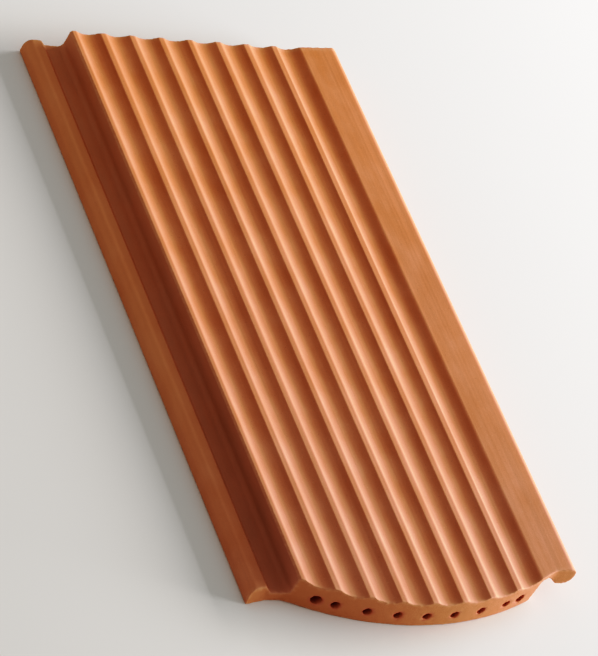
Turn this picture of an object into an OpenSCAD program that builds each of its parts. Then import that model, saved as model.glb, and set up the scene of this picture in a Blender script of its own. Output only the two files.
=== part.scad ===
// Extruded clay roof tile with a fluted face, a side-lap channel and a cover flange.
// X runs across the tile, Y from the bowed foot to the head, Z up from the flat underside.

/* [Tile] */
// Length from the tip of the bowed foot to the head
tile_len = 420; // [300:5:500]
// Thickness from the underside to the crests
body_t = 20; // [16:0.5:28]
// How far the crest of the first rib stands from the channel's side wall
wall_out = 1.9; // [1.8:0.1:3]
// How far the right side of the body stands past the last crest line
side_out = 0.4; // [0:0.1:4]
// Radius of the long corners of the underside
corner_r = 1; // [0.5:0.1:2]

/* [Flutes] */
// Number of flutes along the face
flute_n = 8; // [5:1:11]
// Distance from crest to crest
flute_pitch = 20; // [16:0.5:26]
// Depth of a flute below the crests
flute_depth = 2.1; // [1:0.1:3.5]
// Width of the narrow flat on each crest
land_w = 3.8; // [1.5:0.1:4.5]
// Radius of the last flute, which climbs to the cover band
cove_r = 15; // [9:0.5:18]
// Rounding of the first rib where it drops to the channel
rib_r = 1.2; // [0.5:0.1:1.6]

/* [Side-lap channel] */
// Width of the flat channel from the rib wall to the foot of the rim
channel_w = 11.7; // [9:0.1:18]
// Height of the channel floor
channel_z = 6.5; // [5:0.1:9]
// Fillet between the channel floor and the rib wall
channel_r = 3; // [1:0.1:4]
// Width of the rim, foot to outer face
rim_w = 13.9; // [12:0.1:20]
// Height of the rim's top
rim_z = 10.3; // [9.5:0.1:13]
// Rounding of the rim's outer shoulder
rim_r = 4.9; // [3:0.1:6]
// Rounding at the head and foot of the rim's inner slope
rim_edge_r = 1.5; // [0.5:0.1:2]

/* [Cover flange] */
// Rise of the cover band over the crests where it starts
band_rise = 0.6; // [0.3:0.1:3]
// Rise of the cover band over the crests at the lip
lip_rise = 1.9; // [1:0.1:4]
// Thickness of the flange where it leaves the body
flange_t = 3; // [2.5:0.1:6]
// Rounding under the flange at the body's side
flange_r = 1.5; // [0.5:0.1:3]
// Width of the flat recess roof before it slopes down to the lip
recess_w = 5.2; // [4:0.1:9]
// Rounding of the lip's inner lower edge
lip_in_r = 2.2; // [1:0.1:3]
// Rounding of the lip's outer lower edge
lip_out_r = 6; // [2:0.1:7]
// Rounding of the lip's outer upper edge
lip_top_r = 5; // [2:0.1:6]

/* [Side lap] */
// Gap between a tile's rim and the side of the next tile's body
side_gap = 0.3; // [0.2:0.1:1.5]
// Gap between the lip and the wall of the channel that it drops into
lip_gap = 0.8; // [0.5:0.1:2.5]
// Gap between the lip's inner edge and the foot of the rim beside it
toe_gap = 0.95; // [0.6:0.05:1.5]
// Height of the lip above the channel floor
floor_gap = 2.9; // [1.5:0.1:4]

/* [Foot cut] */
// Radius of the bow that cuts the foot
bow_r = 203; // [180:1:260]
// Setback of the channel's end from the tip of the bow
channel_set = 17.4; // [12:0.1:22]
// Setback of the rim's outer corner from the tip of the bow
rim_set = 14.5; // [12:0.1:22]
// Lean of the rim's foot end, back from upright
rim_rake = 11; // [1:1:25]
// Setback of the lip's end from the tip of the bow
lip_set = 21.8; // [16:0.1:26]

/* [Cores] */
// Diameter of the lengthwise core holes
core_d = 5.2; // [3:0.1:7]
// Diameter of the outermost core hole on each side
edge_core_d = 6.2; // [3:0.1:7]
// Number of evenly spaced core holes
core_n = 7; // [3:1:8]
// Spacing of the even core holes
core_pitch = 18.85; // [14:0.05:20]
// Distance from the last even core hole to the outermost one
edge_core_gap = 11; // [9:0.1:14]
// Height of the core holes' axes above the underside
core_z = 8.2; // [6:0.1:11]

/* [Hidden] */
clay = [0.76, 0.42, 0.23];
round_steps = 8;
past = 1;
rim_slope = 45;

face_w = flute_n * flute_pitch;
wall_x = -wall_out;
side_x = face_w + side_out;
rim_in_x = wall_x - channel_w;
x_min = rim_in_x - rim_w;
// The flange reaches over the next tile's rim and into its channel
flange_out = side_gap + rim_w + channel_w - lip_gap;
x_max = side_x + flange_out;
mid_x = (x_min + x_max) / 2;

// A flute is a circle whose chord spans the gap between two crest flats
flute_chord = flute_pitch - land_w;
flute_r = (pow(flute_chord / 2, 2) + pow(flute_depth, 2)) / (2 * flute_depth);
flute_z = body_t - flute_depth + flute_r;
// The last flute starts at the same crest flat and keeps its own radius
cove_reach = sqrt(pow(cove_r, 2) - pow(cove_r - flute_depth, 2));
cove_x = face_w - flute_pitch + land_w / 2 + cove_reach;
cove_z = body_t - flute_depth + cove_r;
cove_rim = sqrt(pow(cove_r, 2) - pow(cove_r - flute_depth - band_rise, 2));

// The cover band is a straight line from the last flute's far edge to the lip
band_x0 = cove_x + cove_rim;
band_x1 = x_max - lip_top_r;
band_grade = (lip_rise - band_rise) / (band_x1 - band_x0);
function band_z(x) = body_t + band_rise + (x - band_x0) * band_grade;

roof_z = band_z(side_x) - flange_t;
recess_x = side_x + recess_w;
lip_z = channel_z + floor_gap;
lip_x = x_max - (channel_w - lip_gap - toe_gap);
lip_slope = atan2(roof_z - lip_z, lip_x - recess_x);
lip_turn = tan(lip_slope / 2);
rim_turn = tan(rim_slope / 2);
rim_crown_x = rim_in_x - (rim_z - channel_z) / tan(rim_slope);

function arc(cx, cz, r, a0, a1) =
    [for (i = [0:round_steps]) let (a = a0 + (a1 - a0) * i / round_steps)
        [cx + r * cos(a), cz + r * sin(a)]];

// Outline of the section before the flutes are cut, from the rim's lower corner round by the underside
function outline() = concat(
    arc(x_min + corner_r, corner_r, corner_r, 180, 270),
    arc(side_x - corner_r, corner_r, corner_r, 270, 360),
    arc(side_x + flange_r, roof_z - flange_r, flange_r, 180, 90),
    arc(recess_x - lip_in_r * lip_turn, roof_z - lip_in_r, lip_in_r, 90, 90 - lip_slope),
    arc(lip_x + lip_in_r * lip_turn, lip_z + lip_in_r, lip_in_r, 270 - lip_slope, 270),
    arc(x_max - lip_out_r, lip_z + lip_out_r, lip_out_r, 270, 360),
    arc(x_max - lip_top_r, body_t + lip_rise - lip_top_r, lip_top_r, 0, 90),
    [[cove_x, band_z(cove_x)], [cove_x, body_t]],
    arc(wall_x + rib_r, body_t - rib_r, rib_r, 90, 180),
    arc(wall_x - channel_r, channel_z + channel_r, channel_r, 360, 270),
    arc(rim_in_x + rim_edge_r * rim_turn, channel_z + rim_edge_r, rim_edge_r, 270, 270 - rim_slope),
    arc(rim_crown_x - rim_edge_r * rim_turn, rim_z - rim_edge_r, rim_edge_r, 90 - rim_slope, 90),
    arc(x_min + rim_r, rim_z - rim_r, rim_r, 90, 180));

module section() {
    difference() {
        polygon(outline());
        for (i = [0:flute_n - 2])
            translate([(i + 0.5) * flute_pitch, flute_z])
                circle(r = flute_r, $fn = 180);
        translate([cove_x, cove_z])
            circle(r = cove_r, $fn = 180);
    }
}

// Seen from above: straight sides and head, a bowed foot between two set-back ends
module plan() {
    polygon([
        [x_min, rim_set],
        [rim_in_x, channel_set],
        [mid_x, channel_set],
        [mid_x, lip_set],
        [x_max + past, lip_set],
        [x_max + past, tile_len],
        [x_min - past, tile_len],
        [x_min - past, rim_set]]);
    intersection() {
        translate([mid_x, bow_r])
            circle(r = bow_r, $fn = 720);
        translate([x_min - past, -past])
            square([x_max - x_min + 2 * past, bow_r / 2]);
    }
}

// Leans the rim's end back from its lower edge, which runs from the outer corner to the channel
module rim_bevel() {
    intersection() {
        translate([x_min, rim_set, 0])
            rotate([0, 0, atan2(channel_set - rim_set, rim_w)])
                rotate([-rim_rake, 0, 0])
                    translate([-rim_w, -rim_w, -rim_z])
                        cube([3 * rim_w, rim_w, 4 * rim_z]);
        translate([x_min - past, 0, -past])
            cube([rim_w + past, channel_set + rim_z, rim_z + 2 * past]);
    }
}

module core(x, d) {
    translate([x, tile_len + past, core_z])
        rotate([90, 0, 0])
            cylinder(d = d, h = tile_len + 2 * past, $fn = 48);
}

module cores() {
    for (i = [0:core_n - 1])
        core(face_w / 2 + (i - (core_n - 1) / 2) * core_pitch, core_d);
    for (side = [-1, 1])
        core(face_w / 2 + side * ((core_n - 1) / 2 * core_pitch + edge_core_gap), edge_core_d);
}

module roof_tile() {
    color(clay)
        translate([-mid_x, -tile_len / 2, 0])
            difference() {
                intersection() {
                    translate([0, tile_len, 0])
                        rotate([90, 0, 0])
                            linear_extrude(height = tile_len)
                                section();
                    translate([0, 0, -past])
                        linear_extrude(height = body_t + lip_rise + 2 * past)
                            plan();
                }
                rim_bevel();
                cores();
            }
}

roof_tile();
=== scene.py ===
import math
from types import SimpleNamespace

import bpy
import numpy as np
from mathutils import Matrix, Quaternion, Vector
from mathutils.geometry import delaunay_2d_cdt


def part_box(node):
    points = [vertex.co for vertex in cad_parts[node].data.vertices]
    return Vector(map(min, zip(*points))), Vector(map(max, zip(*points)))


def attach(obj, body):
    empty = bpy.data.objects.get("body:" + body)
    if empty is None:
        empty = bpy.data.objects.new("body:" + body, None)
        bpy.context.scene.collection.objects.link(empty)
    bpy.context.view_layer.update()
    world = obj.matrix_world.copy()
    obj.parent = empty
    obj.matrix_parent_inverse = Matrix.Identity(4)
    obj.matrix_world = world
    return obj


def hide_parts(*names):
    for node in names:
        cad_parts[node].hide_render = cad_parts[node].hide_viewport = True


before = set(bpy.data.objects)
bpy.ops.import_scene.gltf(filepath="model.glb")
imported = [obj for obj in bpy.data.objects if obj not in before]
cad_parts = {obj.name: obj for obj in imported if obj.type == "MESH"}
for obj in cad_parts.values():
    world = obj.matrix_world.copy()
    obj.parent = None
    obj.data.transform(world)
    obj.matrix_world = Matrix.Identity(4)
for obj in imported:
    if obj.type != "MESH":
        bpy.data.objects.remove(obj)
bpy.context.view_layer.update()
tileLow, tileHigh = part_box("roof_tile")
mm = 0.001
print("frame loaded")


def arc(cx, cz, radius, startDeg, endDeg, gap):
    # centre plus the radius times (cos, sin), the angle running evenly from start to end
    sweep = abs(math.radians(endDeg - startDeg))
    steps = max(2, math.ceil(sweep * radius / gap))
    turn = np.radians(np.linspace(startDeg, endDeg, steps + 1))
    return np.column_stack((cx + radius * np.cos(turn), cz + radius * np.sin(turn)))


def filledIn(points, faceGap, bedGap):
    # a closed outline whose straight stretches are cut into equal steps, wider ones along the bed
    bedTouch = 0.05
    following = np.roll(points, -1, axis=0)
    length = np.linalg.norm(following - points, axis=1)
    onBed = np.maximum(points[:, 1], following[:, 1]) < bedTouch
    parts = np.maximum(1, np.ceil(length / np.where(onBed, bedGap, faceGap))).astype(int)
    owner = np.repeat(np.arange(len(points)), parts)
    first = np.concatenate(([0], np.cumsum(parts)[:-1]))
    share = (np.arange(parts.sum()) - first[owner]) / parts[owner]
    return points[owner] + (following - points)[owner] * share[:, None]


def outwardOf(points):
    # unit normals of an outline drawn anticlockwise: the mean of the two edges that meet at a point,
    # turned a quarter to the right
    ahead = np.roll(points, -1, axis=0) - points
    ahead /= np.linalg.norm(ahead, axis=1)[:, None]
    along = ahead + np.roll(ahead, 1, axis=0)
    along /= np.linalg.norm(along, axis=1)[:, None]
    return np.column_stack((along[:, 1], -along[:, 0]))


def crossOf(a, b):
    # the cross product in a plane: ax bz - az bx
    return a[..., 0] * b[..., 1] - a[..., 1] * b[..., 0]


def ripple(places, waveLength, seed, waves=14, spread=(0.6, 1.7)):
    # smooth unevenness of about unit size: a sum of sine waves with seeded headings, lengths and phases
    draw = np.random.default_rng(seed)
    heading = draw.normal(size=(waves, places.shape[-1]))
    heading /= np.linalg.norm(heading, axis=1)[:, None]
    number = 2 * np.pi / (waveLength * draw.uniform(*spread, waves)[:, None])
    phase = draw.uniform(0, 2 * np.pi, waves)
    return np.sin(places @ (heading * number).T + phase).sum(axis=-1) * math.sqrt(2 / waves)


def twoRipples(places, lengths, seed, share=0.6):
    # a ripple that takes the share, and another, on the next seed, that takes what is left of 1
    first = ripple(places[0], lengths[0], seed)
    return share * first + (1 - share) * ripple(places[1], lengths[1], seed + 1)


def easeBetween(low, high, value):
    # 0 below low and 1 above high, with the cubic 3s^2 - 2s^3 between them
    share = np.clip((value - low) / (high - low), 0, 1)
    return share * share * (3 - 2 * share)


def insideOf(places, loop):
    # even-odd rule: a place is inside when a ray to its right crosses the loop an odd number of times
    tiny = 1e-12
    following = np.roll(loop, -1, axis=0)
    px, pz = places[:, 0][:, None], places[:, 1][:, None]
    x0, z0, x1, z1 = loop[:, 0], loop[:, 1], following[:, 0], following[:, 1]
    straddles = (z0 > pz) != (z1 > pz)
    rise = np.where(z1 == z0, tiny, z1 - z0)
    crossings = straddles & (px < x0 + (pz - z0) * (x1 - x0) / rise)
    return crossings.sum(axis=1) % 2 == 1


def gapTo(places, loop):
    # distance of each place from the nearest point of a loop
    across = places[:, 0][:, None] - loop[:, 0]
    up = places[:, 1][:, None] - loop[:, 1]
    return np.hypot(across, up).min(axis=1)


# the fired clay tile, in mm and degrees; x runs from the middle of the first crest, y from the apex of
# the bowed foot, z from the bed; a crest's lit side is the one towards the lip
roofTile = {
    # body and flutes
    "bodyHeight": 20.0, "wallOut": 1.9, "sideOut": 0.4, "cornerRound": 1.0, "ribRound": 1.3,
    "flutes": 8, "flutePitch": 20.0, "fluteDepth": 2.1, "landWidth": 3.8,
    "landRoundLit": 4.0, "landRoundShade": 2.0, "coveRound": 15.0,
    # channel and rim
    "channelWidth": 11.7, "channelHeight": 6.5, "channelRound": 3.0,
    "rimWidth": 13.9, "rimHeight": 10.3, "rimRound": 4.9, "rimEdgeRound": 1.5, "rimSlope": 45.0,
    # cover band, flange and lip, and the clearances over the next tile's rim and channel
    "bandRise": 0.6, "bandGrade": 0.0583, "bandRound": 6.0, "lipRise": 1.9,
    "flangeThickness": 3.0, "flangeRound": 1.5, "recessWidth": 5.2,
    "lipInnerRound": 2.2, "lipOuterRound": 6.0, "lipTopRound": 5.0,
    "sideGap": 0.3, "lipGap": 0.8, "toeGap": 0.95, "floorGap": 2.9,
    # foot and head: the bow, the set-back shoulders, the rim's leaning end, the head out of square
    "bowRadius": 203.0, "channelSet": 17.4, "rimSet": 14.5, "lipSet": 21.8, "shoulderEase": 0.5,
    "rimRake": 11.0, "rakeFade": (-2.5, 0.5), "headSkew": 1.8,
    # cores
    "coreWidth": 5.2, "edgeCoreWidth": 6.2, "cores": 7, "corePitch": 18.85, "edgeCoreGap": 11.0,
    "coreHeight": 8.2, "coreWobble": 0.10, "wobbleLength": 0.85,      # the wobble's length in radii
    # softened arrises of the cuts and of the core mouths, and chips along the cuts
    "cutRound": 0.6, "mouthRound": 0.45,
    "nickDepth": 0.30, "nickLengths": (6.0, 1.8), "nickAbove": (0.8, 1.0),
    # the die's lines, the drying warp, and the wire's drag on the cuts
    "lineDepth": 0.014, "lineWidths": (2.2, 5.0), "lineDrift": 0.012, "lineHeights": (0.05, 0.6),
    "warp": 0.06, "warpLength": 190.0, "warpHeights": (3.0, 18.0),
    "dragDepth": 0.10, "dragWidths": (1.7, 2.6), "dragSlant": (0.35, 0.94), "dragStretch": 9.0,
    # how finely it is drawn: steps along the outline, rings from foot to head, and the cuts' triangles,
    # whose jitter and clearances are shares of a grain
    "drawn": {
        "arcGap": {"corner": 0.3, "edge": 0.35, "flange": 0.4, "channel": 0.45, "lip": 0.5, "flute": 0.434},
        "faceGap": 0.62, "bedGap": 2.4, "leastStep": 0.05,
        "nearRows": (0.35, 0.8, 1.5, 2.6, 4.2, 6.5, 10.0), "firstRow": 15.0, "rows": 61, "roundRings": 5,
        "coreFacets": 28, "facetsTurned": 5, "mouthAngles": (0.0, 35.0, 90.0),
        "coreRings": (0.008, 0.02, 0.05, 0.15, 0.5, 0.85, 0.95, 0.98, 0.992),
        "cutGrain": 1.5, "cutJitter": 0.3, "rimClear": 0.45, "coreClear": 0.5,
    },
    # where the finish changes; a bend is in radians per mm, and wear and painted shade run from 0 to 1
    "marks": {
        "wearReach": 0.9, "bendWear": 0.8, "bendRange": (0.15, 0.8), "mouthWear": 0.7, "mouthReach": 0.5,
        "shadeFromRim": (-1.0, 0.8), "shadeToRib": (0.1, 0.9), "shadeHeights": (0.5, 2.0),
        "paleToChannel": (-4.0, -1.0), "mouthShade": 0.35, "shadeFrom": 6.0, "tornFrom": 0.4,
    },
    # where each random pattern starts; those with two ripples use the next number too
    "seeds": {"footDrag": 11, "headDrag": 23, "nicks": 31, "dieLines": 41, "warp": 43, "coreRod": 51,
              "cutGrid": 61},
}


def measuresOf(t):
    # places that follow from the sizes: a flute's circle is (chord/2)^2 / (2 depth) + depth/2 in radius
    m = SimpleNamespace()
    m.top = t["bodyHeight"]
    m.faceWidth = t["flutes"] * t["flutePitch"]
    chord = t["flutePitch"] - t["landWidth"]
    m.fluteRadius = (chord / 2) ** 2 / (2 * t["fluteDepth"]) + t["fluteDepth"] / 2
    m.fluteZ = m.top - t["fluteDepth"] + m.fluteRadius
    m.wallX = -t["wallOut"]
    m.sideX = m.faceWidth + t["sideOut"]
    m.rimInX = m.wallX - t["channelWidth"]
    m.edgeX = m.rimInX - t["rimWidth"]
    m.lipX = m.sideX + t["sideGap"] + t["rimWidth"] + t["channelWidth"] - t["lipGap"]
    coveReach = math.sqrt(t["coveRound"] ** 2 - (t["coveRound"] - t["fluteDepth"]) ** 2)
    m.coveX = m.faceWidth - t["flutePitch"] + t["landWidth"] / 2 + coveReach
    m.coveZ = m.top - t["fluteDepth"] + t["coveRound"]
    m.bandZ = m.top + t["bandRise"]
    bandX = m.coveX + math.sqrt(t["coveRound"] ** 2 - (m.coveZ - m.bandZ) ** 2)
    m.roofZ = m.bandZ + (m.sideX - bandX) * t["bandGrade"] - t["flangeThickness"]
    m.recessX = m.sideX + t["recessWidth"]
    m.toeZ = t["channelHeight"] + t["floorGap"]
    m.toeX = m.lipX - (t["channelWidth"] - t["lipGap"] - t["toeGap"])
    m.toeSlope = math.degrees(math.atan2(m.roofZ - m.toeZ, m.toeX - m.recessX))
    m.crownX = m.rimInX - (t["rimHeight"] - t["channelHeight"]) / math.tan(math.radians(t["rimSlope"]))
    m.middleX = (m.edgeX + m.lipX) / 2
    m.length = (tileHigh.y - tileLow.y) / mm
    places = (np.arange(t["cores"]) - (t["cores"] - 1) / 2) * t["corePitch"]
    outer = [places[0] - t["edgeCoreGap"], places[-1] + t["edgeCoreGap"]]
    m.coreX = np.concatenate((places, outer)) + m.faceWidth / 2
    m.coreRadius = np.array([t["coreWidth"]] * t["cores"] + [t["edgeCoreWidth"]] * 2) / 2
    return m


def roundBeside(circle, side):
    # a small round of radius r, level with the face at its top, that meets a circle of radius R: its
    # middle is sqrt((R + r)^2 - drop^2) to the side, and they touch at acos(drop / (R + r)) from upright
    _, cz, radius = circle
    top, small = side
    drop = cz - (top - small)
    return math.sqrt((radius + small) ** 2 - drop ** 2), math.degrees(math.acos(drop / (radius + small)))


def hollow(circle, left, right, gap):
    # one groove from right to left: the right side's round, the circle's underside, the left side's round
    cx, cz, radius = circle
    (leftTop, leftRound), (rightTop, rightRound) = left, right
    reachLeft, leanLeft = roundBeside(circle, left)
    reachRight, leanRight = roundBeside(circle, right)
    return [
        arc(cx + reachRight, rightTop - rightRound, rightRound, 90, 90 + leanRight, gap["edge"]),
        arc(cx, cz, radius, 270 + leanRight, 270 - leanLeft, gap["flute"]),
        arc(cx - reachLeft, leftTop - leftRound, leftRound, 90 - leanLeft, 90, gap["edge"]),
    ]


def tileOutline(t, m):
    # the section anticlockwise from the rim's foot: bed, side, flange and lip, band, flutes, channel, rim
    gap = t["drawn"]["arcGap"]
    toeTurn = math.tan(math.radians(m.toeSlope / 2))
    rimTurn = math.tan(math.radians(t["rimSlope"] / 2))
    corner, flange = t["cornerRound"], t["flangeRound"]
    inner, outer, crown = t["lipInnerRound"], t["lipOuterRound"], t["lipTopRound"]
    edge, rim, rib, channel = t["rimEdgeRound"], t["rimRound"], t["ribRound"], t["channelRound"]
    parts = [
        arc(m.edgeX + corner, corner, corner, 180, 270, gap["corner"]),
        arc(m.sideX - corner, corner, corner, 270, 360, gap["corner"]),
        arc(m.sideX + flange, m.roofZ - flange, flange, 180, 90, gap["flange"]),
        arc(m.recessX - inner * toeTurn, m.roofZ - inner, inner, 90, 90 - m.toeSlope, gap["flange"]),
        arc(m.toeX + inner * toeTurn, m.toeZ + inner, inner, 270 - m.toeSlope, 270, gap["flange"]),
        arc(m.lipX - outer, m.toeZ + outer, outer, 270, 360, gap["lip"]),
        arc(m.lipX - crown, m.top + t["lipRise"] - crown, crown, 0, 90, gap["lip"]),
    ]
    lit, shade = (m.top, t["landRoundLit"]), (m.top, t["landRoundShade"])
    parts += hollow((m.coveX, m.coveZ, t["coveRound"]), shade, (m.bandZ, t["bandRound"]), gap)
    for flute in reversed(range(t["flutes"] - 1)):
        middle = (flute + 0.5) * t["flutePitch"]
        parts += hollow((middle, m.fluteZ, m.fluteRadius), lit, shade, gap)
    floor, slope = t["channelHeight"], t["rimSlope"]
    parts += [
        arc(m.wallX + rib, m.top - rib, rib, 90, 180, gap["corner"]),
        arc(m.wallX - channel, floor + channel, channel, 360, 270, gap["channel"]),
        arc(m.rimInX + edge * rimTurn, floor + edge, edge, 270, 270 - slope, gap["edge"]),
        arc(m.crownX - edge * rimTurn, t["rimHeight"] - edge, edge, 90 - slope, 90, gap["edge"]),
        arc(m.edgeX + rim, t["rimHeight"] - rim, rim, 90, 180, gap["channel"]),
    ]
    points = np.vstack(parts)
    apart = np.linalg.norm(points - np.roll(points, 1, axis=0), axis=1) > t["drawn"]["leastStep"]
    return filledIn(points[apart], t["drawn"]["faceGap"], t["drawn"]["bedGap"])


def wireDrag(t, x, z, seed):
    # the wire's drag over a cut: long low ridges at a slant, with shorter tearing between them
    across, up = t["dragSlant"]
    ridges = np.stack((x * across + z * up, (z * across - x * up) / t["dragStretch"]), axis=-1)
    return twoRipples((ridges, np.stack((x, z), axis=-1)), t["dragWidths"], seed)


def footAt(t, m, x, z):
    # the foot's cut: the bow R - sqrt(R^2 - dx^2), or the straight shoulder behind it where that lies
    # nearer the foot, the two eased together; the rim's end leans back with its height
    shortOfSide = 1
    away = np.minimum(np.abs(x - m.middleX), t["bowRadius"] - shortOfSide)
    bow = t["bowRadius"] - np.sqrt(t["bowRadius"] ** 2 - away ** 2)
    overRim = np.clip((m.rimInX - x) / t["rimWidth"], 0, 1)
    leftShoulder = t["channelSet"] + (t["rimSet"] - t["channelSet"]) * overRim
    fadeFrom, fadeTo = t["rakeFade"]
    raked = 1 - easeBetween(m.rimInX + fadeFrom, m.rimInX + fadeTo, x)
    lean = math.tan(math.radians(t["rimRake"])) * z * raked
    shoulder = np.where(x < m.middleX, leftShoulder, t["lipSet"]) + lean
    ease = t["shoulderEase"]
    nearer = -ease * np.logaddexp(-bow / ease, -shoulder / ease)
    return nearer + t["dragDepth"] * wireDrag(t, x, z, t["seeds"]["footDrag"])


def headAt(t, m, x, z):
    # the head's cut, run a little out of square: it gains skew s^2 towards the lip, s running from 0 to 1
    share = (x - m.edgeX) / (m.lipX - m.edgeX)
    drag = t["dragDepth"] * wireDrag(t, x, z, t["seeds"]["headDrag"])
    return m.length + t["headSkew"] * share * share - drag


def ringPlan(t, m):
    # the rings from foot to head: each lies a share s of the way; at both cuts a quarter round, its angle a
    # running from 90 degrees on the cut to 0, pulls the outline in by r (1 - cos a) and closes on the cut
    # by r (1 - sin a)
    near = np.array(t["drawn"]["nearRows"]) / m.length
    start = t["drawn"]["firstRow"] / m.length
    between = np.concatenate((near, np.linspace(start, 1 - start, t["drawn"]["rows"]), 1 - near[::-1]))
    quarter = np.radians(np.linspace(90, 0, t["drawn"]["roundRings"]))
    still = np.zeros(len(between))
    pulled = np.concatenate((1 - np.cos(quarter), still, 1 - np.cos(quarter[::-1])))
    closing = np.concatenate((1 - np.sin(quarter), still, np.sin(quarter[::-1]) - 1)) * t["cutRound"]
    between = between + (1 - 2 * between) * t["cutRound"] / m.length
    share = np.concatenate((np.zeros(len(quarter)), between, np.ones(len(quarter))))
    return share, pulled, closing


def nicksOf(t, outline):
    # chipped arrises: the tops of a long ripple and half those of a short one, from 0 to 1
    longLength, shortLength = t["nickLengths"]
    longAbove, shortAbove = t["nickAbove"]
    nicks = np.clip(ripple(outline, longLength, t["seeds"]["nicks"]) - longAbove, 0, None)
    shortNicks = np.clip(ripple(outline, shortLength, t["seeds"]["nicks"] + 1) - shortAbove, 0, None)
    return np.minimum(nicks + 0.5 * shortNicks, 1.0)


def arrisWear(t, outline, normal, toCut):
    # wear is exp(-d / reach), d being the distance from the cut's round, or comes from the outline's bend
    bend = np.clip(crossOf(normal, np.roll(normal, -1, axis=0)), 0, None)
    bend = bend / np.linalg.norm(np.roll(outline, -1, axis=0) - outline, axis=1)
    atCut = np.exp(-np.clip(toCut - t["cutRound"], 0, None) / t["marks"]["wearReach"])
    return np.maximum(atCut, t["marks"]["bendWear"] * easeBetween(*t["marks"]["bendRange"], bend))


def channelAndRim(t, m, x, z):
    # painted shade: 1 in the channel and 0 outside it, and the same for the rim's paler tone, eased over
    # the named stretches
    marks = t["marks"]
    fromRim = [m.rimInX + edge for edge in marks["shadeFromRim"]]
    toRib = [m.wallX + edge for edge in marks["shadeToRib"]]
    toChannel = [m.rimInX + edge for edge in marks["paleToChannel"]]
    inChannel = easeBetween(*fromRim, x) * (1 - easeBetween(*toRib, x))
    return inChannel * easeBetween(*marks["shadeHeights"], z), 1 - easeBetween(*toChannel, x)


def tileShell(t, m, outline):
    # the outline carried from foot to head, y = foot + (head - foot) s + closing, pulled in at the cuts;
    # the die's lines push it along its normals, and the drying warp, one long low wave, lifts it
    normal = outwardOf(outline)
    share, pulled, closing = ringPlan(t, m)
    inset = pulled[:, None] * (t["cutRound"] + t["nickDepth"] * nicksOf(t, outline))[None, :]
    x = outline[None, :, 0] - normal[None, :, 0] * inset
    z = outline[None, :, 1] - normal[None, :, 1] * inset
    foot = footAt(t, m, x, z)
    y = foot + (headAt(t, m, x, z) - foot) * share[:, None] + closing[:, None]

    drifting = np.stack((x, y * t["lineDrift"], z), axis=-1)
    lines = twoRipples((drifting, drifting), t["lineWidths"], t["seeds"]["dieLines"])
    push = t["lineDepth"] * lines * easeBetween(*t["lineHeights"], z)
    wave = ripple(np.stack((x, y, z), axis=-1), t["warpLength"], t["seeds"]["warp"])
    warp = t["warp"] * wave * easeBetween(*t["warpHeights"], z)
    x = x + normal[None, :, 0] * push
    z = np.maximum(z + normal[None, :, 1] * push + warp, 0)

    wear = arrisWear(t, outline, normal, np.minimum(y - foot, m.length - y))
    # the channel's painted shade, and the rim's paler tone
    channelShade, rimPale = channelAndRim(t, m, x, z)
    tornFrom = t["marks"]["tornFrom"]
    torn = np.zeros_like(wear) + np.clip(pulled * (1 + tornFrom) - tornFrom, 0, 1)[:, None]
    marks = {"arrisWear": wear, "paintedChannelShade": channelShade, "rimPaling": rimPale, "cutFace": torn}
    return np.stack((x, y, z), axis=-1), marks


def coreTubes(t, m):
    # each core: a ring of radius r carried from mouth to mouth, flared by a quarter round at both ends,
    # and a little out of true where the core rod dragged
    turn = np.linspace(0, 2 * np.pi, t["drawn"]["coreFacets"], endpoint=False)
    mouth = np.radians(t["drawn"]["mouthAngles"])
    along = np.array(t["drawn"]["coreRings"])
    still = np.zeros(len(along))
    flare = np.concatenate((1 - np.sin(mouth), still, 1 - np.sin(mouth[::-1]))) * t["mouthRound"]
    sink = np.concatenate((1 - np.cos(mouth), still, np.cos(mouth[::-1]) - 1)) * t["mouthRound"]
    share = np.concatenate((np.zeros(len(mouth)), along, np.ones(len(mouth))))
    onCircle = np.column_stack((np.cos(turn), np.sin(turn)))
    wobble = t["coreWobble"] * ripple(onCircle, t["wobbleLength"], t["seeds"]["coreRod"])
    tubes = []
    for number, (cx, radius) in enumerate(zip(m.coreX, m.coreRadius)):
        turned = np.roll(wobble, number * t["drawn"]["facetsTurned"])
        size = radius + flare[:, None] + turned[None, :]
        x = cx + size * np.cos(turn)
        z = t["coreHeight"] + size * np.sin(turn)
        low = footAt(t, m, x, z)
        y = low + (headAt(t, m, x, z) - low) * share[:, None] + sink[:, None]
        tubes.append(np.stack((x, y, z), axis=-1))

    # painted shade, darker from a little way into each core; worn at the mouth by exp(-d / reach)
    deep = np.minimum(share, 1 - share) * m.length
    mouthShade = t["marks"]["mouthShade"]
    inwardShade = mouthShade + (1 - mouthShade) * easeBetween(0, t["marks"]["shadeFrom"], deep)
    wear = t["marks"]["mouthWear"] * np.exp(-deep / t["marks"]["mouthReach"])
    marks = {}
    for name, values in (("arrisWear", wear), ("coreDepth", inwardShade)):
        marks[name] = np.tile(np.repeat(values, len(turn)), len(tubes))
    return tubes, marks


def stripFaces(ringCount, around, first):
    # quads between each ring and the next, closed round the ring
    at = np.arange(around)
    ahead = np.roll(at, -1)
    ring = first + np.arange(ringCount - 1)[:, None] * around
    quads = (ring + at, ring + ahead, ring + around + ahead, ring + around + at)
    return np.stack(quads, axis=-1).reshape(-1, 4)


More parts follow.
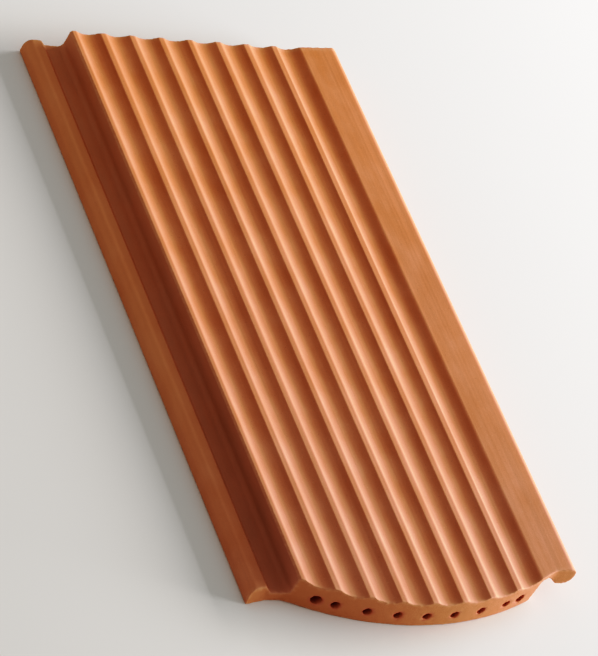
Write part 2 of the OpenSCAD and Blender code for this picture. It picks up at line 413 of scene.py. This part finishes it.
def cutGrid(t, m, rim):
    # jittered grid points over a cut, inside its rim and clear of the rim and of the core mouths
    grain = t["drawn"]["cutGrain"]
    jitter = t["drawn"]["cutJitter"]
    across, up = np.meshgrid(np.arange(m.edgeX, m.lipX, grain), np.arange(0, m.top + t["lipRise"], grain))
    grid = np.column_stack((across.ravel(), up.ravel()))
    grid = grid + np.random.default_rng(t["seeds"]["cutGrid"]).uniform(-jitter, jitter, grid.shape) * grain
    clear = insideOf(grid, rim) & (gapTo(grid, rim) > grain * t["drawn"]["rimClear"])
    for cx, radius in zip(m.coreX, m.coreRadius):
        away = np.hypot(grid[:, 0] - cx, grid[:, 1] - t["coreHeight"])
        clear &= away > radius + t["mouthRound"] + grain * t["drawn"]["coreClear"]
    return grid[clear]


def loopEdges(loops):
    # each point of a loop paired with the next one round it, numbered through all the loops
    edges = []
    first = 0
    for loop in loops:
        at = first + np.arange(len(loop))
        edges += np.column_stack((at, np.roll(at, -1))).tolist()
        first += len(loop)
    return edges


def cutFace(t, m, points, border, mouths, faceAt, facing):
    # a cut end: the grid points, the border and the core mouths joined by a constrained triangulation of
    # their x and z, less the triangles outside the border or in a core; y comes from faceAt
    loops = [border] + mouths
    known = np.concatenate(loops)
    rim = points[border][:, [0, 2]]
    grid = cutGrid(t, m, rim)
    flat = np.vstack((points[known][:, [0, 2]], grid))
    inTriangles, nearEnough = 0, 1e-7
    made = delaunay_2d_cdt([Vector(p) for p in flat], loopEdges(loops), [], inTriangles, nearEnough)
    madePoints, madeFaces = made[3], made[2]
    source = np.array([origins[0] for origins in madePoints])
    faces = source[np.array(madeFaces)]
    centre = flat[faces].mean(axis=1)
    kept = insideOf(centre, rim)
    for mouth in mouths:
        kept &= ~insideOf(centre, points[mouth][:, [0, 2]])
    faces = faces[kept]
    a, b, c = (flat[faces[:, corner]] for corner in range(3))
    flipped = crossOf(b - a, c - a) * facing > 0
    faces[flipped] = faces[flipped][:, ::-1]
    grown = np.column_stack((grid[:, 0], faceAt(t, m, grid[:, 0], grid[:, 1]), grid[:, 1]))
    return grown, np.concatenate((known, len(points) + np.arange(len(grid))))[faces]


def buildTile(t):
    # one closed surface: the shell, the core tubes and the two cuts that join them
    m = measuresOf(t)
    shell, shellMarks = tileShell(t, m, tileOutline(t, m))
    ringCount, around = shell.shape[:2]
    tubes, tubeMarks = coreTubes(t, m)
    tubeRings, facets = tubes[0].shape[:2]
    points = np.vstack([shell.reshape(-1, 3)] + [tube.reshape(-1, 3) for tube in tubes])
    firsts = [ringCount * around + number * tubeRings * facets for number in range(len(tubes))]
    quads = [stripFaces(ringCount, around, 0)[:, ::-1]]
    quads += [stripFaces(tubeRings, facets, first) for first in firsts]
    footMouths = [first + np.arange(facets) for first in firsts]
    headMouths = [mouth + (tubeRings - 1) * facets for mouth in footMouths]
    footRim = np.arange(around)
    headRim = footRim + (ringCount - 1) * around
    footPoints, footFaces = cutFace(t, m, points, footRim, footMouths, footAt, -1)
    points = np.vstack((points, footPoints))
    headPoints, headFaces = cutFace(t, m, points, headRim, headMouths, headAt, 1)
    points = np.vstack((points, headPoints))

    placed = points * mm + np.array([-m.middleX * mm, tileLow.y, tileLow.z])
    faces = np.vstack(quads).tolist() + np.vstack((footFaces, headFaces)).tolist()
    mesh = bpy.data.meshes.new("roofTile")
    mesh.from_pydata(placed.tolist(), [], faces)

    # marks for the finish, each laid out as shell, tubes, cuts: only the cuts are all torn
    onShell, onTubes = np.zeros(ringCount * around), np.zeros(len(tubes) * tubeRings * facets)
    onCuts = np.zeros(len(footPoints) + len(headPoints))
    # two of these marks paint shade: the channel's and the cores'
    for name in ("arrisWear", "paintedChannelShade", "rimPaling", "cutFace", "coreDepth"):
        shellValues = shellMarks[name].ravel() if name in shellMarks else onShell
        cutValues = onCuts + 1 if name == "cutFace" else onCuts
        values = np.concatenate((shellValues, tubeMarks.get(name, onTubes), cutValues))
        mesh.attributes.new(name, "FLOAT", "POINT").data.foreach_set("value", values.astype(np.float32))
    mesh.polygons.foreach_set("use_smooth", np.ones(len(faces), dtype=bool))
    mesh.validate()
    tile = bpy.data.objects.new("roofTile", mesh)
    bpy.context.scene.collection.objects.link(tile)
    return tile


tile = buildTile(roofTile)
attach(tile, "root")
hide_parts("roof_tile")
print("tile built:", len(tile.data.vertices), "points,", len(tile.data.polygons), "faces")

# the finish of the clay: its colours, the sizes of its patterns in mm, how much each one shows, and the
# part of a noise over which it comes in; dots and pin holes are sized in parts of their spacing, and
# "from" places are parts of half the length, counted from the middle
clay = {
    "body": (0.615, 0.242, 0.123), "foot": (0.572, 0.243, 0.142), "head": (0.650, 0.250, 0.112),
    "warm": (0.67, 0.270, 0.130), "flashed": (0.51, 0.185, 0.090), "pale": (0.74, 0.39, 0.24),
    # the channel's two colours are painted shade, darker and duller, lighter towards the head; the rim's
    # pale one is only a paler tone
    "channelShade": (0.45, 0.205, 0.138), "channelShadeHead": (0.56, 0.290, 0.175), "rimPale": (0.69, 0.335, 0.175),
    # the cores' dark colour is painted shade
    "core": (0.40, 0.068, 0.018), "torn": (0.565, 0.238, 0.110),
    "grog": (0.78, 0.48, 0.32), "iron": (0.20, 0.075, 0.045),
    "warmPatch": 95, "warmRange": (0.42, 0.75), "warmShare": 0.35,
    "flashPatch": 60, "flashRange": (0.50, 0.80), "flashShare": 0.30,
    "streakWidth": 3.2, "streakStretch": 60, "mottleSize": 14, "grainSize": 0.9,
    "streakTone": 0.045, "mottleTone": 0.05, "grainTone": 0.05, "mottleTint": 0.03,
    "noiseRange": (0.3, 0.7), "grainRange": (0.25, 0.75),
    "dotSpacing": 1.6, "dotSize": (0.16, 0.30), "grogChance": (0.93, 0.95), "ironChance": (0.94, 0.96),
    "grogShare": 0.14, "ironShare": 0.18,
    # the patches of the channel's painted shade and of the rim's paler tone
    "shadeAndPalePatch": 9, "shadeAndPaleRange": (0.35, 0.65), "shadeShare": 0.75, "shadeHeadFrom": 0.7,
    # how much paler the rim is at the foot and at the head
    "paleAtFoot": 0.05, "paleAtHead": 0.6, "paleHeadFrom": -0.2, "tornShare": 0.7,
    "wornPatch": 2.2, "wornRange": (0.35, 0.60), "wornShare": 0.42,
    "roughPatch": 5, "roughness": (0.70, 0.84), "specular": 0.32,
    "reliefDepth": 0.12, "reliefStrength": 0.6, "grainRelief": 0.5, "streakRelief": 0.35,
    "pinHoleSpacing": 1.1, "pinHoleSize": (0.10, 0.28), "pinHoleRelief": 0.5,
    "pinHolePatch": 6, "pinHoleRange": (0.45, 0.65), "tornGrain": 0.7, "tornRelief": 2.0,
}


class Nodes:
    # short calls for laying out a material's nodes

    def __init__(self, name):
        self.material = bpy.data.materials.new(name)
        self.material.use_nodes = True
        self.tree = self.material.node_tree
        self.shader = self.tree.nodes["Principled BSDF"]
        self.place = self.tree.nodes.new("ShaderNodeTexCoord").outputs["Object"]

    def link(self, source, target):
        self.tree.links.new(source, target)

    def feed(self, sockets, values):
        # a number or a colour is set on its socket, and an output is linked to it
        for socket, value in zip(sockets, values):
            if isinstance(value, (int, float)):
                socket.default_value = value
            elif isinstance(value, tuple):
                socket.default_value = (*value, 1)
            else:
                self.link(value, socket)

    def noise(self, size, stretch=(1, 1, 1), detail=3.0, rough=0.5, shift=(0, 0, 0)):
        # noise whose lumps are about size mm across, drawn out by the stretch
        mapping = self.tree.nodes.new("ShaderNodeMapping")
        mapping.inputs["Location"].default_value = shift
        mapping.inputs["Scale"].default_value = [1 / s for s in stretch]
        self.link(self.place, mapping.inputs["Vector"])
        noise = self.tree.nodes.new("ShaderNodeTexNoise")
        noise.inputs["Scale"].default_value = 1 / (size * mm)
        noise.inputs["Detail"].default_value = detail
        noise.inputs["Roughness"].default_value = rough
        self.link(mapping.outputs["Vector"], noise.inputs["Vector"])
        return noise.outputs["Fac"]

    def cells(self, size, output="Distance"):
        # scattered cells about size mm apart
        voronoi = self.tree.nodes.new("ShaderNodeTexVoronoi")
        voronoi.inputs["Scale"].default_value = 1 / (size * mm)
        self.link(self.place, voronoi.inputs["Vector"])
        return voronoi.outputs[output]

    def ranged(self, value, low, high, toLow=0.0, toHigh=1.0):
        # the value's stretch from low to high carried to toLow and toHigh, and held there beyond it
        node = self.tree.nodes.new("ShaderNodeMapRange")
        for name, number in (("From Min", low), ("From Max", high), ("To Min", toLow), ("To Max", toHigh)):
            node.inputs[name].default_value = number
        self.link(value, node.inputs["Value"])
        return node.outputs["Result"]

    def maths(self, operation, first, second):
        node = self.tree.nodes.new("ShaderNodeMath")
        node.operation = operation
        self.feed(node.inputs, (first, second))
        return node.outputs["Value"]

    def product(self, first, second):
        return self.maths("MULTIPLY", first, second)

    def mark(self, name):
        # one of the marks that the mesh carries
        node = self.tree.nodes.new("ShaderNodeAttribute")
        node.attribute_name = name
        return node.outputs["Fac"]

    def blend(self, share, under, over):
        # under where the share is 0 and over where it is 1
        node = self.tree.nodes.new("ShaderNodeMix")
        node.data_type = "RGBA"
        self.feed([s for s in node.inputs if s.enabled], (share, under, over))
        return [s for s in node.outputs if s.enabled][0]


def kilnTone(n, alongTile, half):
    # pinker at the foot, yellower at the head, in broad soft patches
    colour = n.blend(n.ranged(alongTile, -half, 0), clay["foot"], clay["body"])
    colour = n.blend(n.ranged(alongTile, 0, half), colour, clay["head"])
    warm = n.ranged(n.noise(clay["warmPatch"]), *clay["warmRange"], 0, clay["warmShare"])
    colour = n.blend(warm, colour, clay["warm"])
    flashed = n.noise(clay["flashPatch"], shift=(3, 1, 2))
    flashed = n.ranged(flashed, *clay["flashRange"], 0, clay["flashShare"])
    return n.blend(flashed, colour, clay["flashed"])


def mottled(n, colour, streak, mottle, grain):
    # the streaks, the mottle and the grain, each lighter and darker by its tone
    usual = clay["noiseRange"]
    light = n.ranged(streak, *usual, -clay["streakTone"], clay["streakTone"])
    light = n.maths("ADD", light, n.ranged(mottle, *usual, -clay["mottleTone"], clay["mottleTone"]))
    grain = n.ranged(grain, *clay["grainRange"], -clay["grainTone"], clay["grainTone"])
    light = n.maths("ADD", light, grain)
    hueShift = n.tree.nodes.new("ShaderNodeHueSaturation")
    n.link(n.maths("ADD", light, 1.0), hueShift.inputs["Value"])
    tint = n.ranged(mottle, *usual, 1 + clay["mottleTint"], 1 - clay["mottleTint"])
    n.link(tint, hueShift.inputs["Saturation"])
    n.link(colour, hueShift.inputs["Color"])
    return hueShift.outputs["Color"]


def grogAndIron(n, colour):
    # a few pale and dark grains: a dot in each cell, shown where the cell's own chance is high enough
    chance = n.tree.nodes.new("ShaderNodeSeparateColor")
    n.link(n.cells(clay["dotSpacing"], "Color"), chance.inputs["Color"])
    dot = n.ranged(n.cells(clay["dotSpacing"]), *clay["dotSize"], 1, 0)
    paleDot = n.product(dot, n.ranged(chance.outputs["Red"], *clay["grogChance"]))
    darkDot = n.product(dot, n.ranged(chance.outputs["Green"], *clay["ironChance"]))
    colour = n.blend(n.product(paleDot, clay["grogShare"]), colour, clay["grog"])
    return n.blend(n.product(darkDot, clay["ironShare"]), colour, clay["iron"])


def paintedShadeAndCuts(n, colour, alongTile, half):
    # the channel is painted darker and duller as painted shade, the rim paler towards the head, the cuts
    # are torn open, worn arrises are paler, and the cores are painted dark inside as painted shade
    patchy = n.ranged(n.noise(clay["shadeAndPalePatch"], (1, 3, 1)), *clay["shadeAndPaleRange"], 0.75, 1.0)
    towardsHead = n.ranged(alongTile, -half, half * clay["shadeHeadFrom"])
    # the channel painted darker and duller, lighter towards the head: painted shade
    channelShade = n.blend(towardsHead, clay["channelShade"], clay["channelShadeHead"])
    colour = n.blend(n.product(n.mark("paintedChannelShade"), n.product(patchy, clay["shadeShare"])), colour, channelShade)
    # the rim paler, more so towards the head
    paling = n.ranged(alongTile, -half, half * clay["paleHeadFrom"], clay["paleAtFoot"], clay["paleAtHead"])
    paling = n.product(patchy, paling)
    colour = n.blend(n.product(n.mark("rimPaling"), paling), colour, clay["rimPale"])
    colour = n.blend(n.product(n.mark("cutFace"), clay["tornShare"]), colour, clay["torn"])
    worn = n.ranged(n.noise(clay["wornPatch"]), *clay["wornRange"], 0.25, 1.0)
    worn = n.product(n.mark("arrisWear"), worn)
    colour = n.blend(n.product(worn, clay["wornShare"]), colour, clay["pale"])
    # the cores painted dark, more so further in: painted shade
    return n.blend(n.mark("coreDepth"), colour, clay["core"])


def sandyRelief(n, streak, grain):
    # relief too fine for the mesh: sandy grain, pin holes, the die's scratches and the tearing of the cuts
    pits = n.ranged(n.cells(clay["pinHoleSpacing"]), *clay["pinHoleSize"], -1, 0)
    height = n.maths("ADD", n.product(grain, clay["grainRelief"]), n.product(streak, clay["streakRelief"]))
    someHoles = n.ranged(n.noise(clay["pinHolePatch"]), *clay["pinHoleRange"], 0.0, clay["pinHoleRelief"])
    height = n.maths("ADD", height, n.product(pits, someHoles))
    tearing = n.noise(clay["tornGrain"], detail=5.0, rough=0.75)
    torn = n.product(tearing, n.product(n.mark("cutFace"), clay["tornRelief"]))
    bump = n.tree.nodes.new("ShaderNodeBump")
    bump.inputs["Strength"].default_value = clay["reliefStrength"]
    bump.inputs["Distance"].default_value = clay["reliefDepth"] * mm
    n.link(n.maths("ADD", height, torn), bump.inputs["Height"])
    n.link(bump.outputs["Normal"], n.shader.inputs["Normal"])


def firedClay():
    n = Nodes("firedClay")
    separate = n.tree.nodes.new("ShaderNodeSeparateXYZ")
    n.link(n.place, separate.inputs["Vector"])
    alongTile = separate.outputs["Y"]
    half = (tileHigh.y - tileLow.y) / 2

    colour = kilnTone(n, alongTile, half)
    streak = n.noise(clay["streakWidth"], (1, clay["streakStretch"], 1), 4.0, 0.62)
    mottle = n.noise(clay["mottleSize"], (1, 1.8, 1), 4.0, 0.55, (1, 4, 2))
    grain = n.noise(clay["grainSize"], detail=4.0, rough=0.7)
    colour = mottled(n, colour, streak, mottle, grain)
    colour = grogAndIron(n, colour)
    n.link(paintedShadeAndCuts(n, colour, alongTile, half), n.shader.inputs["Base Color"])

    rough = n.ranged(n.noise(clay["roughPatch"], (1, 6, 1)), *clay["noiseRange"], *clay["roughness"])
    n.link(rough, n.shader.inputs["Roughness"])
    n.shader.inputs["Specular IOR Level"].default_value = clay["specular"]
    sandyRelief(n, streak, grain)
    return n.material


tile.data.materials.append(firedClay())
print("clay finished")

# the room, in metres: a pale floor, one low soft box beside the lip, even fill, a print film's contrast
studio = {
    "floorHalf": 6.0, "floorDrop": 0.0001, "floorColour": (0.80, 0.79, 0.775), "floorUneven": (0.97, 1.02),
    "floorPatch": 400, "floorRoughness": 0.9, "floorSpecular": 0.2,
    "keyTurn": 90.0, "keyRise": 14.0, "keyAway": 1.6, "keySize": (1.6, 0.75), "keyPower": 62.0,
    "keyColour": (1.0, 0.985, 1.0), "fill": 0.36, "fillColour": (1.0, 0.985, 0.93),
    "film": ((0.0, 0.0), (0.04, 0.01), (0.10, 0.055), (0.20, 0.20), (0.40, 0.45), (0.70, 0.80),
             (1.20, 1.01)), "filmWhite": 2.0,
}


def studioFloor():
    half = studio["floorHalf"]
    drop = -studio["floorDrop"]
    mesh = bpy.data.meshes.new("studioFloor")
    corners = [(-half, -half, drop), (half, -half, drop), (half, half, drop), (-half, half, drop)]
    mesh.from_pydata(corners, [], [(0, 1, 2, 3)])
    floor = bpy.data.objects.new("studioFloor", mesh)
    bpy.context.scene.collection.objects.link(floor)
    n = Nodes("paleFloor")
    low, high = (tuple(part * share for part in studio["floorColour"]) for share in studio["floorUneven"])
    n.link(n.blend(n.noise(studio["floorPatch"]), low, high), n.shader.inputs["Base Color"])
    n.shader.inputs["Roughness"].default_value = studio["floorRoughness"]
    n.shader.inputs["Specular IOR Level"].default_value = studio["floorSpecular"]
    mesh.materials.append(n.material)


def towards(turnDeg, riseDeg):
    # direction out from the tile: turn 0 is -Y and 90 is +X, rise is above the floor
    turn, rise = math.radians(turnDeg), math.radians(riseDeg)
    return Vector((math.sin(turn) * math.cos(rise), -math.cos(turn) * math.cos(rise), math.sin(rise)))


def softBox():
    lamp = bpy.data.lights.new("keyLight", "AREA")
    lamp.shape = "RECTANGLE"
    lamp.size, lamp.size_y = studio["keySize"]
    lamp.energy = studio["keyPower"]
    lamp.color = studio["keyColour"]
    holder = bpy.data.objects.new("keyLight", lamp)
    direction = towards(studio["keyTurn"], studio["keyRise"])
    holder.location = direction * studio["keyAway"]
    holder.rotation_mode = "QUATERNION"
    holder.rotation_quaternion = (-direction).to_track_quat("-Z", "Y")
    bpy.context.scene.collection.objects.link(holder)


def evenFill():
    world = bpy.data.worlds.new("evenFill")
    world.use_nodes = True
    background = world.node_tree.nodes["Background"]
    background.inputs["Color"].default_value = (*studio["fillColour"], 1)
    background.inputs["Strength"].default_value = studio["fill"]
    bpy.context.scene.world = world


def filmCurve():
    # light in against print out: a short toe, a straight run and a soft shoulder
    settings = bpy.context.scene.view_settings
    settings.view_transform = "Standard"
    settings.use_curve_mapping = True
    mapping = settings.curve_mapping
    mapping.clip_max_x = mapping.clip_max_y = studio["filmWhite"]
    mapping.extend = "EXTRAPOLATED"
    allColours = mapping.curves[3]
    points = studio["film"]
    allColours.points[0].location = points[0]
    allColours.points[1].location = points[-1]
    for place in points[1:-1]:
        allColours.points.new(*place)
    mapping.update()


studioFloor()
softBox()
evenFill()
filmCurve()
print("floor and light placed")

# turn and rise as for the light, roll about the line of sight; away and aim in metres, lens in mm
sight = {"turn": -44.691, "rise": 38.805, "roll": 34.100, "away": 2.4410, "lens": 237.16, "film": 36,
         "aim": (-0.01073, -0.01508, 0.020)}


def sightCamera():
    data = bpy.data.cameras.new("sightCamera")
    data.lens = sight["lens"]
    data.sensor_width = sight["film"]
    camera = bpy.data.objects.new("sightCamera", data)
    direction = towards(sight["turn"], sight["rise"])
    camera.location = Vector(sight["aim"]) + direction * sight["away"]
    camera.rotation_mode = "QUATERNION"
    level = (-direction).to_track_quat("-Z", "Y")
    camera.rotation_quaternion = level @ Quaternion((0, 0, 1), math.radians(sight["roll"]))
    bpy.context.scene.collection.objects.link(camera)
    bpy.context.scene.camera = camera


sightCamera()
print("camera placed")
